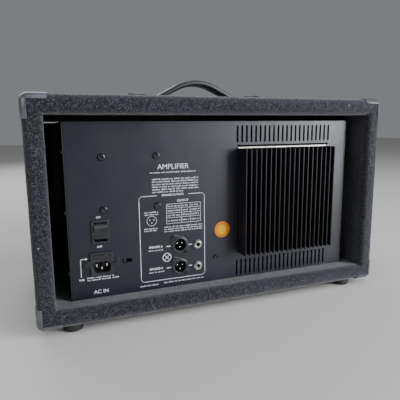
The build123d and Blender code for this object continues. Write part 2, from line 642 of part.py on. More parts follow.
xlr_pin_offsets = ((-4.1, 2), (4.1, 2), (0, -4.4))
with BuildPart() as xlr_inserts:
    for row in speaker_rows:
        y_rod(xlr_x, row, 9.4, xlr_back_y, xlr_back_y + 8)
        for x, z in xlr_pin_offsets:
            y_rod(xlr_x + x, row + z, 1.2, xlr_back_y, xlr_back_y + 8, Mode.SUBTRACT)
save(xlr_inserts, "xlr_inserts")

with BuildPart() as xlr_pins:
    for row in speaker_rows:
        for x, z in xlr_pin_offsets:
            y_rod(xlr_x + x, row + z, 1.2, xlr_back_y - 6, rear_face_y - 1)
    fillet(xlr_pins.edges().group_by(Axis.Y)[-1], 0.7)
save(xlr_pins, "xlr_pins")

with BuildPart() as connector_screws:
    for x, z in xlr_screws_at:
        pan_screw_y(x, z, 1.5, 2.8, 1.8, rear_face_y + 1.6, rear_inner_y - 4)
    for x, z in inlet_screws_at:
        pan_screw_y(x, z, 1.5, 2.8, 1.8, inlet_front_y, rear_inner_y - 4)
save(connector_screws, "connector_screws")


def phone_jacks(spots, outer_y, inner_y):
    """Jack bodies behind a panel whose faces are at these two Y, with a threaded nose through it."""
    outward = 1 if outer_y > inner_y else -1
    for x, z in spots:
        block(x - 8, x + 8, inner_y - outward * 26, inner_y, z - 8, z + 8)
        y_rod(x, z, jack_thread, inner_y, outer_y + outward * 3.4)
        y_rod(x, z, jack_bore, inner_y - outward * 24, outer_y + outward * 3.4, Mode.SUBTRACT)


with BuildPart() as speaker_jacks:
    phone_jacks(speaker_jacks_at, rear_face_y, rear_inner_y)
save(speaker_jacks, "speaker_jacks")

with BuildPart() as input_jacks:
    phone_jacks(input_jacks_at, front_face_y, front_back_y)
save(input_jacks, "input_jacks")

with BuildPart() as jack_nuts:
    for spots, face, outward in ((speaker_jacks_at, rear_face_y, 1), (input_jacks_at, front_face_y, -1)):
        for x, z in spots:
            y_rod(x, z, 7, face, face + outward * 0.6)
            y_hex(x, z, 12, face + outward * 0.6, face + outward * 2.6)
            y_rod(x, z, jack_thread, face, face + outward * 2.6, Mode.SUBTRACT)
save(jack_nuts, "jack_nuts")

with BuildPart() as inspection_sticker:
    y_rod(sticker_x, sticker_z, sticker_radius, rear_face_y, rear_face_y + 0.15)
save(inspection_sticker, "inspection_sticker")


# ---- front controls ----
pot_depth, board_thick = 10, 1.6
knob_radius, knob_back_y, knob_front_y = 11, front_face_y - 1.5, front_face_y - 17
with BuildPart() as potentiometers:
    for i in range(len(knob_names)):
        x = knob_first_x + i * knob_pitch
        block(x - 8, x + 8, front_back_y, front_back_y + pot_depth, control_z - 11, control_z + 9)
        y_rod(x, control_z, 4.5, front_face_y - 1, front_back_y)
        y_rod(x, control_z, shaft_radius + shaft_fit, front_face_y - 1, front_back_y + 8, Mode.SUBTRACT)
save(potentiometers, "potentiometers")

button_body_depth = 10
with BuildPart() as push_switches:
    for x in button_names.values():
        block(x - 6, x + 6, front_back_y, front_back_y + button_body_depth, control_z - 6, control_z + 6)
        y_rod(x, control_z, 4.3, front_back_y, front_back_y + 8, Mode.SUBTRACT)
save(push_switches, "push_switches")

with BuildPart() as preamp_board:
    board_y = front_back_y + pot_depth
    block(-150, 205, board_y, board_y + board_thick, control_z - 24, control_z + 20)
save(preamp_board, "preamp_board")

with BuildPart() as power_lamp:
    y_rod(lamp_x, control_z, 4, front_face_y, front_back_y + 12)
    y_rod(lamp_x, control_z, 5.5, front_face_y - 3, front_face_y)
    fillet(power_lamp.edges().group_by(Axis.Y)[0], 2.4)
save(power_lamp, "power_lamp")

for i, knob_name in enumerate(knob_names):
    x = knob_first_x + i * knob_pitch
    with BuildPart() as knob:
        y_rod(x, control_z, knob_radius, knob_front_y, knob_back_y)
        y_rod(x, control_z, knob_radius + 2, knob_back_y - 3, knob_back_y)
        chamfer(knob.edges().group_by(Axis.Y)[0], 1)
        block(x - 0.8, x + 0.8, knob_front_y - 0.01, knob_front_y + 0.6, control_z + 2, control_z + knob_radius,
              Mode.SUBTRACT)
        y_rod(x, control_z, shaft_radius, knob_back_y, front_back_y + 7)
    save(knob, f"knob_{knob_name}")

for name, x in button_names.items():
    with BuildPart() as button:
        y_rod(x, control_z, 4, front_face_y - 6, front_back_y + 4)
        fillet(button.edges().group_by(Axis.Y)[0], 0.8)
    save(button, f"{name}_button")
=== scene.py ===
"""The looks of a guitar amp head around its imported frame. Metres, in the row frame: the back faces +Y."""
import json
from math import atan, cos, pi, radians, sin, sqrt, tan
from random import Random

import bmesh
import bpy
from mathutils import Matrix, Vector, noise


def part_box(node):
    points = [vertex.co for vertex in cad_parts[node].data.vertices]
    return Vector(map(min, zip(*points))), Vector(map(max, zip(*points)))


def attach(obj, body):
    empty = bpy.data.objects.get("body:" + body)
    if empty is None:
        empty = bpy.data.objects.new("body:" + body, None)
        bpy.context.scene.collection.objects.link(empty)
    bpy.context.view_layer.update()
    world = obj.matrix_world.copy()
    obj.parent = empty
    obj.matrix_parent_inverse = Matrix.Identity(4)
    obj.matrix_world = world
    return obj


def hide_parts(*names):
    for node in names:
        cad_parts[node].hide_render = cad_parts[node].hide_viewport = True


MM = 0.001
HOME = "cabinet"  # the body of everything that doesn't move

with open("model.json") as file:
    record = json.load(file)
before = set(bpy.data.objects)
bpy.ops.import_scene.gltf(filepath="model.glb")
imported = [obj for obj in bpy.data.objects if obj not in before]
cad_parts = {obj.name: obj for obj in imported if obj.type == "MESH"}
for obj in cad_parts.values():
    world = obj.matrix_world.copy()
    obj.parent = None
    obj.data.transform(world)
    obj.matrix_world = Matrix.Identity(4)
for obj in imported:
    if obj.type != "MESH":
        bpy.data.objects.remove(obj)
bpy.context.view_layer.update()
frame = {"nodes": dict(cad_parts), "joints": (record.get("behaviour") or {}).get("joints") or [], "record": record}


def span(node):
    low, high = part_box(node)
    return Vector(low), Vector(high)


carpet_low, carpet_high = span("carpet_covering")
panel_y = span("rear_panel")[1].y
front_y = span("front_panel")[0].y
control_z = sum(v.z for v in span("knob_gain")) / 2
knob_names = [j["child"] for j in frame["joints"] if j["child"].startswith("knob_")]


# ---- materials: every one is worked out from the object's own coordinates ----
def tree_of(mat):
    return mat.node_tree.nodes, mat.node_tree.links


def coordinates(mat, stretch=(1, 1, 1)):
    """Object coordinates, stretched along the axes."""
    nodes, links = tree_of(mat)
    place = nodes.new("ShaderNodeTexCoord")
    mapping = nodes.new("ShaderNodeMapping")
    mapping.inputs["Scale"].default_value = stretch
    links.new(place.outputs["Object"], mapping.inputs["Vector"])
    return mapping.outputs["Vector"]


def grain(mat, scale, detail=3, stretch=(1, 1, 1)):
    """A noise from 0 to 1."""
    nodes, links = tree_of(mat)
    node = nodes.new("ShaderNodeTexNoise")
    node.inputs["Scale"].default_value = scale
    node.inputs["Detail"].default_value = detail
    links.new(coordinates(mat, stretch), node.inputs["Vector"])
    return node.outputs["Fac"]


def ramp(mat, factor, stops):
    """A colour ramp; stops are (position, colour)."""
    nodes, links = tree_of(mat)
    node = nodes.new("ShaderNodeValToRGB")
    elements = node.color_ramp.elements
    while len(elements) < len(stops):
        elements.new(0.5)
    for element, (position, colour) in zip(elements, stops):
        element.position = position
        element.color = (*colour, 1)
    links.new(factor, node.inputs["Fac"])
    return node.outputs["Color"]


def remap(mat, value, low, high, to_low, to_high):
    """Carries a value from one range to another, held at both ends."""
    nodes, links = tree_of(mat)
    node = nodes.new("ShaderNodeMapRange")
    for slot, number in enumerate((low, high, to_low, to_high), start=1):
        node.inputs[slot].default_value = number
    links.new(value, node.inputs[0])
    return node.outputs[0]


def blend_colours(mat, factor, first, second, kind="MIX"):
    """Blends two colours, each an output or a fixed colour; the factor is an output or a number."""
    nodes, links = tree_of(mat)
    node = nodes.new("ShaderNodeMix")
    node.data_type = "RGBA"
    node.blend_type = kind
    if isinstance(factor, float):
        node.inputs["Factor"].default_value = factor
    else:
        links.new(factor, node.inputs["Factor"])
    for name, colour in (("A", first), ("B", second)):
        port = [i for i in node.inputs if i.name == name and i.type == "RGBA"][0]
        if isinstance(colour, tuple):
            port.default_value = (*colour, 1)
        else:
            links.new(colour, port)
    return [o for o in node.outputs if o.type == "RGBA"][0]


def bump(mat, height, distance, strength=1.0):
    nodes, links = tree_of(mat)
    node = nodes.new("ShaderNodeBump")
    node.inputs["Distance"].default_value = distance
    node.inputs["Strength"].default_value = strength
    links.new(height, node.inputs["Height"])
    links.new(node.outputs["Normal"], nodes["Principled BSDF"].inputs["Normal"])


TONE_LOW, TONE_HIGH = 0.35, 0.65  # where a surface's grain is fully dark and fully light


def surface(name, dark, light, scale, roughness, bump_scale=900, bump_mm=0.01, stretch=(1, 1, 1),
            metallic=0.0):
    """A material whose colour runs from dark to light, with a grain in its roughness and its relief."""
    mat = bpy.data.materials.new(name)
    mat.use_nodes = True
    nodes, links = tree_of(mat)
    shader = nodes["Principled BSDF"]
    shader.inputs["Metallic"].default_value = metallic
    tone = grain(mat, scale, stretch=stretch)
    colour = ramp(mat, tone, [(TONE_LOW, dark), (TONE_HIGH, light)])
    links.new(colour, shader.inputs["Base Color"])
    low, high = roughness
    links.new(remap(mat, grain(mat, scale * 2.7, stretch=stretch), 0.3, 0.7, low, high),
              shader.inputs["Roughness"])
    bump(mat, grain(mat, bump_scale, stretch=stretch), bump_mm * MM)
    mat.diffuse_color = (*light, 1)
    return mat


def carpet_look():
    """Needle-punched carpet: matted fibres, dark and light patches, and a few caught pale specks."""
    mat = bpy.data.materials.new("carpet")
    mat.use_nodes = True
    nodes, links = tree_of(mat)
    shader = nodes["Principled BSDF"]
    shader.inputs["Roughness"].default_value = 0.95
    shader.inputs["Sheen Weight"].default_value = 0.35
    shader.inputs["Sheen Roughness"].default_value = 0.45
    shader.inputs["Specular IOR Level"].default_value = 0.15
    fibres = ramp(mat, grain(mat, 620, 6), [(0.34, (0.006, 0.006, 0.0085)),
                                            (0.52, (0.023, 0.0225, 0.031)),
                                            (0.72, (0.09, 0.088, 0.11))])
    tufts = ramp(mat, grain(mat, 210, 5), [(0.36, (0.45, 0.45, 0.45)), (0.64, (1.25, 1.25, 1.25))])
    patches = ramp(mat, grain(mat, 26, 3), [(0.3, (0.62, 0.62, 0.62)), (0.7, (1, 1, 1))])
    shaded = blend_colours(mat, 1.0, fibres, blend_colours(mat, 0.5, tufts, patches), "MULTIPLY")
    specks = nodes.new("ShaderNodeTexVoronoi")
    specks.inputs["Scale"].default_value = 75
    links.new(coordinates(mat), specks.inputs["Vector"])
    close = remap(mat, specks.outputs["Distance"], 0.05, 0.09, 1, 0)
    chosen = remap(mat, grain(mat, 40, 2), 0.58, 0.62, 0, 1)
    both = nodes.new("ShaderNodeMath")
    both.operation = "MULTIPLY"
    links.new(close, both.inputs[0])
    links.new(chosen, both.inputs[1])
    colour = blend_colours(mat, both.outputs[0], shaded, (0.55, 0.54, 0.5))
    links.new(colour, shader.inputs["Base Color"])
    bump(mat, grain(mat, 700, 7), 1.3 * MM)
    return mat


def sticker_look(centre, radius):
    """A round sticker: an orange rim and a yellow middle."""
    mat = bpy.data.materials.new("sticker")
    mat.use_nodes = True
    nodes, links = tree_of(mat)
    shader = nodes["Principled BSDF"]
    away = nodes.new("ShaderNodeVectorMath")
    away.operation = "DISTANCE"
    away.inputs[1].default_value = centre
    links.new(coordinates(mat), away.inputs[0])
    rings = ramp(mat, remap(mat, away.outputs["Value"], 0, radius, 0, 1),
                 [(0.0, (0.72, 0.44, 0.002)), (0.5, (0.72, 0.40, 0.002)),
                  (0.62, (0.66, 0.22, 0.002)), (1.0, (0.55, 0.16, 0.002))])
    links.new(rings, shader.inputs["Base Color"])
    links.new(remap(mat, grain(mat, 300), 0.3, 0.7, 0.35, 0.5), shader.inputs["Roughness"])
    shader.inputs["Specular IOR Level"].default_value = 0.25
    bump(mat, grain(mat, 400), 0.03 * MM)
    return mat


BLACK_PLASTIC = ((0.010, 0.010, 0.012), (0.020, 0.020, 0.023))
LOOKS = {
    "carpet": carpet_look(),
    "board": surface("board", (0.012, 0.010, 0.009), (0.03, 0.026, 0.022), 30, (0.6, 0.8),
                     stretch=(1, 0.1, 1), bump_mm=0.05),
    "protector": surface("protector", (0.062, 0.065, 0.080), (0.092, 0.096, 0.115), 60, (0.26, 0.36),
                         bump_scale=1400, bump_mm=0.02),
    # a lighter colour for rounded edges: partly rubbed wear, partly a painted highlight where the edges catch
    # light
    "wear_and_highlight_black": surface("wear_and_highlight_black", (0.03, 0.03, 0.036), (0.09, 0.09, 0.1), 400, (0.3, 0.5),
                          metallic=0.3),
    # a brighter colour for the XLR shell rims: a painted highlight where the rims catch light
    "painted_highlight_edge": surface("painted_highlight_edge", (0.12, 0.12, 0.13), (0.24, 0.24, 0.25), 300, (0.25, 0.4),
                          metallic=0.5),
    "dull_nickel": surface("dull_nickel", (0.22, 0.21, 0.20), (0.38, 0.37, 0.35), 150, (0.24, 0.36),
                           metallic=1.0),
    "rubber": surface("rubber", (0.008, 0.008, 0.008), (0.018, 0.018, 0.018), 80, (0.7, 0.85)),
    "black_screw": surface("black_screw", (0.035, 0.035, 0.04), (0.08, 0.08, 0.09), 200, (0.12, 0.20),
                           metallic=0.9),
    "strap": surface("strap", (0.010, 0.010, 0.014), (0.020, 0.020, 0.026), 90, (0.34, 0.44),
                     bump_scale=1100, bump_mm=0.05),
    "cap": surface("cap", *BLACK_PLASTIC, 90, (0.3, 0.4), bump_scale=1400, bump_mm=0.02),
    "panel_paint": surface("panel_paint", (0.0058, 0.0060, 0.0135), (0.0078, 0.0080, 0.0170), 14,
                           (0.36, 0.43), bump_scale=1700, bump_mm=0.012),
    "print": surface("print", (0.50, 0.50, 0.54), (0.66, 0.66, 0.70), 500, (0.5, 0.6), bump_mm=0.004),
    "chassis_paint": surface("chassis_paint", (0.012, 0.012, 0.016), (0.02, 0.02, 0.026), 20, (0.4, 0.5)),
    "zinc": surface("zinc", (0.42, 0.41, 0.38), (0.6, 0.59, 0.56), 60, (0.3, 0.45), metallic=1.0),
    "heat_sink": surface("heat_sink", (0.008, 0.008, 0.010), (0.014, 0.014, 0.018), 40, (0.34, 0.46),
                         stretch=(1, 1, 0.06), metallic=0.35, bump_mm=0.02),
    # a pale cream colour for the top strip of the heat sink's base: a painted highlight where its top catches
    # light from above
    "painted_highlight_cream": surface("painted_highlight_cream", (0.62, 0.58, 0.48), (0.85, 0.82, 0.72), 300, (0.35, 0.5),
                              stretch=(0.15, 1, 1), metallic=0.6),
    "black_plastic": surface("black_plastic", *BLACK_PLASTIC, 120, (0.26, 0.36),
                             bump_scale=1600, bump_mm=0.01),
    "nickel": surface("nickel", (0.62, 0.60, 0.55), (0.8, 0.79, 0.74), 150, (0.14, 0.26), metallic=1.0),
    "circuit_board": surface("circuit_board", (0.010, 0.09, 0.035), (0.02, 0.15, 0.06), 60, (0.3, 0.45)),
    "capacitor": surface("capacitor", (0.012, 0.03, 0.13), (0.02, 0.05, 0.2), 60, (0.25, 0.35)),
    "lamination": surface("lamination", (0.05, 0.05, 0.055), (0.12, 0.12, 0.125), 900, (0.45, 0.6),
                          stretch=(0.02, 1, 0.02), metallic=0.7),
    "winding": surface("winding", (0.45, 0.33, 0.10), (0.62, 0.48, 0.18), 70, (0.35, 0.5)),
    "knob": surface("knob", (0.012, 0.012, 0.014), (0.022, 0.022, 0.025), 120, (0.38, 0.5), bump_mm=0.02),
}


def glass_look(name, colour):
    """Tinted glass or clear plastic."""
    mat = surface(name, colour, tuple(min(1, c * 1.3) for c in colour), 80, (0.04, 0.1), bump_mm=0.002)
    mat.node_tree.nodes["Principled BSDF"].inputs["Transmission Weight"].default_value = 0.6
    return mat


LOOKS["fuse_glass"] = glass_look("fuse_glass", (0.75, 0.8, 0.8))
LOOKS["lamp"] = glass_look("lamp", (0.5, 0.02, 0.01))


# ---- making pieces ----
def place_piece(name, mesh, looks, body=HOME, node=None):
    """Links a mesh as a piece with its materials, on a body, in place of a CAD node."""
    piece = bpy.data.objects.new(name, mesh)
    bpy.context.collection.objects.link(piece)
    for look in looks[len(mesh.materials):]:
        mesh.materials.append(LOOKS[look])
    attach(piece, body)
    if node:
        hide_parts(*([node] if isinstance(node, str) else node))


def smooth(mesh, angle=35):
    mesh.shade_smooth()
    mesh.set_sharp_from_angle(angle=radians(angle))


def mesh_from(work, name):
    mesh = bpy.data.meshes.new(name)
    bmesh.ops.recalc_face_normals(work, faces=work.faces)
    work.to_mesh(mesh)
    work.free()
    return mesh


def bevelled(mesh, width, edge_material=-1, angle=38, segments=2):
    """A copy of the mesh with its sharp edges rounded; the roundings can have a material of their own."""
    mesh.shade_smooth()
    holder = bpy.data.objects.new("holder", mesh)
    bpy.context.collection.objects.link(holder)
    bevel = holder.modifiers.new("bevel", "BEVEL")
    bevel.width = width
    bevel.segments = segments
    bevel.limit_method = "ANGLE"
    bevel.angle_limit = radians(angle)
    bevel.material = edge_material
    shaped = bpy.data.meshes.new_from_object(holder.evaluated_get(bpy.context.evaluated_depsgraph_get()))
    bpy.data.objects.remove(holder)
    return shaped


WELD, FLAT_ANGLE = 2e-6, 0.6  # metres and degrees under which CAD facets are joined


def refined(node, looks, edge=0.25, edge_look=None, choose=None):
    """The CAD node's own shape with rounded edges; choose(centre) gives the number of a face's material."""
    # the edge look gives the roundings a lighter colour: partly wear, partly a painted highlight
    edge_material = len(looks) if edge_look else -1
    all_looks = looks + ([edge_look] if edge_look else [])
    work = bmesh.new()
    work.from_mesh(frame["nodes"][node].data)
    bmesh.ops.remove_doubles(work, verts=work.verts, dist=WELD)
    bmesh.ops.dissolve_limit(work, angle_limit=radians(FLAT_ANGLE), verts=work.verts, edges=work.edges)
    mesh = bpy.data.meshes.new(f"{node}_shape")
    work.to_mesh(mesh)
    work.free()
    for look in all_looks:
        mesh.materials.append(LOOKS[look])
    mesh = bevelled(mesh, edge * MM, edge_material)
    if node in SHEETS:
        mesh.shade_flat()
    else:
        smooth(mesh, 24)
    body = next(b for b, members in frame["record"]["behaviour"]["bodies"].items() if node in members)
    if choose:
        for face in mesh.polygons:
            face.material_index = choose(face.center)
    place_piece(f"{node}_shape", mesh, all_looks, body, node)


def grid_faces(rows, columns, close_rows=False, close_columns=False):
    """Quads over a grid of vertices, numbered row by row."""
    faces = []
    for i in range(rows if close_rows else rows - 1):
        for j in range(columns if close_columns else columns - 1):
            here, there = i * columns, (i + 1) % rows * columns
            after = (j + 1) % columns
            faces.append((here + j, here + after, there + after, there + j))
    return faces


def add_prism(work, points, material=0):
    """A closed prism between two rings of points of the same length."""
    low, high = ([work.verts.new(p) for p in ring] for ring in points)
    faces = [work.faces.new(low[::-1]), work.faces.new(high)]
    for i in range(len(low)):
        j = (i + 1) % len(low)
        faces.append(work.faces.new((low[i], low[j], high[j], high[i])))
    for face in faces:
        face.material_index = material


SHEETS = ("rear_panel", "front_panel", "chassis_tray", "chassis_cover", "preamp_board", "power_amp_board")
slot_of = {entry["node"]: entry["material_slot"] for entry in frame["record"]["subparts"]}


# ---- carpet: one skin over the whole cabinet, turned into both openings ----
SKIN, WALL = 3 * MM, 25 * MM
REAR_WRAP, FRONT_WRAP = 57.5 * MM, 21.5 * MM
STEP = 3.2 * MM  # between points along the skin
PILE = 0.45 * MM
LINING_STEP = 6 * MM
middle = (carpet_low + carpet_high) / 2
open_half = Vector(((carpet_high.x - carpet_low.x) / 2 - WALL, 0, (carpet_high.z - carpet_low.z) / 2 - WALL))


def run(start, end):
    """Evenly spaced points from start towards end, about a step apart, without the end."""
    start, end = Vector(start), Vector(end)
    count = max(1, round((end - start).length / STEP))
    return [start.lerp(end, i / count) for i in range(count)]


def turn(centre, radius, start, end, pieces=5):
    """Points on an arc, in degrees, with both ends."""
    angles = [radians(start + (end - start) * i / pieces) for i in range(pieces + 1)]
    return [Vector((centre[0] + radius * cos(a), centre[1] + radius * sin(a))) for a in angles]


def carpet_profile():
    """The skin's section: x is the distance out from the opening, y is Y. The outer side comes first."""
    back, front = carpet_high.y, carpet_low.y
    outer, inner = 9 * MM, 8 * MM
    shown = run((0, back - REAR_WRAP), (0, back - inner))
    shown += turn((inner, back - inner), inner, 180, 90)
    shown += run((inner + STEP, back), (WALL - outer, back))
    shown += turn((WALL - outer, back - outer), outer, 90, 0)
    shown += run((WALL, back - outer - STEP), (WALL, front + outer))
    shown += turn((WALL - outer, front + outer), outer, 0, -90)
    shown += run((WALL - outer - STEP, front), (inner, front))
    shown += turn((inner, front + inner), inner, -90, -180)
    shown += run((0, front + inner + STEP), (0, front + SKIN + FRONT_WRAP))
    hidden = [(SKIN, front + SKIN + FRONT_WRAP), (SKIN, front + SKIN), (WALL - SKIN, front + SKIN),
              (WALL - SKIN, back - SKIN), (SKIN, back - SKIN), (SKIN, back - REAR_WRAP)]
    return shown, [Vector(p) for p in hidden]


def opening_loop(out):
    """Points round the opening, this far out from it, with rounded corners; the count is always the same."""
    radius = 1.5 * MM + 7.5 * MM * out / WALL
    half_x, half_z = open_half.x + out - radius, open_half.z + out - radius
    counts = (round(2 * open_half.z / STEP), round(2 * open_half.x / STEP)) * 2
    corners = ((half_x, half_z), (-half_x, half_z), (-half_x, -half_z), (half_x, -half_z))
    points = []
    for quarter in range(4):
        first, here = corners[quarter - 1], corners[quarter]
        ahead = Vector((cos(quarter * pi / 2), sin(quarter * pi / 2))) * radius
        for i in range(1, counts[quarter]):
            points.append(Vector(first).lerp(Vector(here), i / counts[quarter]) + ahead)
        points += turn(here, radius, 90 * quarter, 90 * quarter + 90)
    return points


def rough_pile(mesh, shown, depth):
    """Moves the shown vertices in and out along their normals, as matted pile stands."""
    random = Random(11)
    shifts = []
    for vertex in mesh.vertices[:shown]:
        wave = noise.noise(vertex.co * 210)
        shifts.append(vertex.normal * (depth * (wave * 0.25 + random.uniform(-0.5, 0.5))))
    for vertex, shift in zip(mesh.vertices, shifts):
        vertex.co += shift


def make_carpet():
    shown, hidden = carpet_profile()
    profile = shown + hidden
    verts = []
    for out, y in profile:
        verts += [(middle.x + p.x, y, middle.z + p.y) for p in opening_loop(out)]
    columns = len(verts) // len(profile)
    mesh = bpy.data.meshes.new("carpet_skin")
    mesh.from_pydata(verts, [], grid_faces(len(profile), columns, True, True))
    work = bmesh.new()
    work.from_mesh(mesh)
    bmesh.ops.recalc_face_normals(work, faces=work.faces)
    work.to_mesh(mesh)
    work.free()
    rough_pile(mesh, len(shown) * columns, PILE)
    mesh.shade_smooth()
    place_piece("carpet_skin", mesh, ["carpet"], node="carpet_covering")


def make_floor_lining():
    """The strip of carpet under the chassis, between the two turned-in ends."""
    low_y, high_y = carpet_low.y + SKIN + FRONT_WRAP + 0.4 * MM, carpet_high.y - REAR_WRAP - 0.4 * MM
    low_z, high_z = carpet_low.z + WALL - SKIN + 0.2 * MM, carpet_low.z + WALL - 0.1 * MM
    rows, columns = round((high_y - low_y) / LINING_STEP), round(2 * open_half.x / LINING_STEP)
    random = Random(5)
    top = [(open_half.x * (2 * j / columns - 1), low_y + (high_y - low_y) * i / rows,
            high_z - random.uniform(0, 0.4) * MM) for i in range(rows + 1) for j in range(columns + 1)]
    work = bmesh.new()
    verts = [work.verts.new(p) for p in top]
    faces = [work.faces.new([verts[k] for k in quad]) for quad in grid_faces(rows + 1, columns + 1)]
    sheet = bmesh.ops.extrude_face_region(work, geom=faces)
    for item in sheet["geom"]:
        if isinstance(item, bmesh.types.BMVert):
            item.co.z = low_z
    mesh = mesh_from(work, "floor_lining")
    mesh.shade_smooth()
    place_piece("floor_lining", mesh, ["carpet"], node="carpet_covering")


# ---- handle strap: arched, crowned, with a bead along each edge ----
def arch(x, foot_x, foot_z, peak_z, foot_radius, peak_radius):
    """Height of two slopes to a peak, rounded at the peak and at the feet."""
    x = abs(x)
    slope = atan((peak_z - foot_z) / foot_x)
    if x < peak_radius * sin(slope):
        return peak_z - peak_radius / cos(slope) + sqrt(peak_radius ** 2 - x ** 2)
    centre = foot_x + foot_radius * tan(slope / 2)
    if x > centre:
        return foot_z
    if x > centre - foot_radius * sin(slope):
        return foot_z + foot_radius - sqrt(foot_radius ** 2 - (x - centre) ** 2)
    return peak_z - x * tan(slope)


# foot_x, foot_z, peak_z, foot_radius and peak_radius of the strap's two faces, above the carpet
STRAP_TOP, STRAP_UNDERSIDE = (77, 5, 46.5, 60, 80), (69, 1, 33, 60, 70)
STRAP_STEPS, STRAP_AROUND = 120, 40


def make_strap():
    low, high = span("handle_strap")
    base = carpet_high.z / MM
    half_y = (high.y - low.y) / 2 / MM
    end = high.x / MM
    stations = [end * (2 * i / STRAP_STEPS - 1) for i in range(STRAP_STEPS + 1)]
    verts = []
    for x in stations:
        over = base + arch(x, *STRAP_TOP)
        under = base + arch(x, *STRAP_UNDERSIDE)
        half = (over - under) / 2
        taper = 1 - 0.12 * (x / end) ** 2
        for k in range(STRAP_AROUND):
            angle = 2 * pi * k / STRAP_AROUND
            across, up = cos(angle), sin(angle)
            y = half_y * taper * (1 if across > 0 else -1) * abs(across) ** 0.55
            edge = abs(y) / (half_y * taper)
            bead = 0.86 + 0.14 * max(0, 1 - ((edge - 0.84) / 0.13) ** 2) - 0.05 * (edge < 0.7)
            crown = 0.92 + 0.06 * cos(edge * pi / 2)
            swell, side = (bead, 1) if up > 0 else (crown, -1)
            z = (over + under) / 2 + half * swell * side * abs(up) ** 0.5
            verts.append((x * MM, y * MM, z * MM))
    mesh = bpy.data.meshes.new("strap")
    faces = grid_faces(len(stations), STRAP_AROUND, False, True)
    faces += [tuple(range(STRAP_AROUND))[::-1], tuple(range(len(verts) - STRAP_AROUND, len(verts)))]
    mesh.from_pydata(verts, [], faces)
    smooth(mesh, 50)
    place_piece("handle_strap_shape", mesh, ["strap"], "handle", "handle_strap")


# ---- heat sink: tapered fins with rounded tips on a base whose top strip is a pale cream painted highlight ----
FIN_COUNT = 20
FIN_RIBS = 9  # steps along a fin's flank
FIN_TIP = 1.2 * MM


def make_heat_sink():
    low, high = span("heat_sink")
    ear, fin_top = 12 * MM, high.z - 1.5 * MM
    left, right = low.x + ear, high.x - ear
    face, inner = panel_y + 1 * MM, panel_y - 1.5 * MM
    root, tip = 3.0 * MM, 2.1 * MM
    work = bmesh.new()

    def column(outline, bottom, top, material=0):
        add_prism(work, [[(x, y, z) for x, y in outline] for z in (bottom, top)], material)

    column([(low.x, low.y), (high.x, low.y), (high.x, inner), (low.x, inner)], low.z, high.z)
    column([(left, inner), (right, inner), (right, face), (left, face)], low.z, fin_top)
    # the base's top strip takes the second material: pale cream as a painted highlight where the top catches light
    # from above
    column([(left, inner), (right, inner), (right, face), (left, face)], fin_top, high.z, 1)
    pitch = (right - left - 2 * FIN_TIP) / (FIN_COUNT - 1)
    for i in range(FIN_COUNT):
        x = left + FIN_TIP + i * pitch
        half_outline = []
        for k in range(FIN_RIBS + 1):
            share = k / FIN_RIBS
            half = (root + (tip - root) * share) / 2
            y = face + (high.y - FIN_TIP - face) * share
            half_outline.append((half - (0.12 * MM if k % 2 else 0), y))
        half_outline += [(tip / 2 * cos(a), high.y - FIN_TIP + FIN_TIP * sin(a)) for a in (pi / 5, pi / 2.6)]
        outline = [(x + dx, y) for dx, y in half_outline] + [(x - dx, y) for dx, y in half_outline[::-1]]
        if i in (0, FIN_COUNT - 1):  # the end fins stop at the base's two sides
            outline = [(max(left, min(right, px)), py) for px, py in outline]
            outline = [p for n, p in enumerate(outline) if n == 0 or p != outline[n - 1]]
        column(outline, low.z, fin_top)
    mesh = mesh_from(work, "heat_sink_fins")
    smooth(mesh, 40)
    place_piece("heat_sink_fins", mesh, ["heat_sink", "painted_highlight_cream"], node="heat_sink")


# ---- print: thin raised ink on a panel, set out in millimetres right and up as a reader sees it ----
INK_FOOT, INK_TOP = 0.01, 0.06


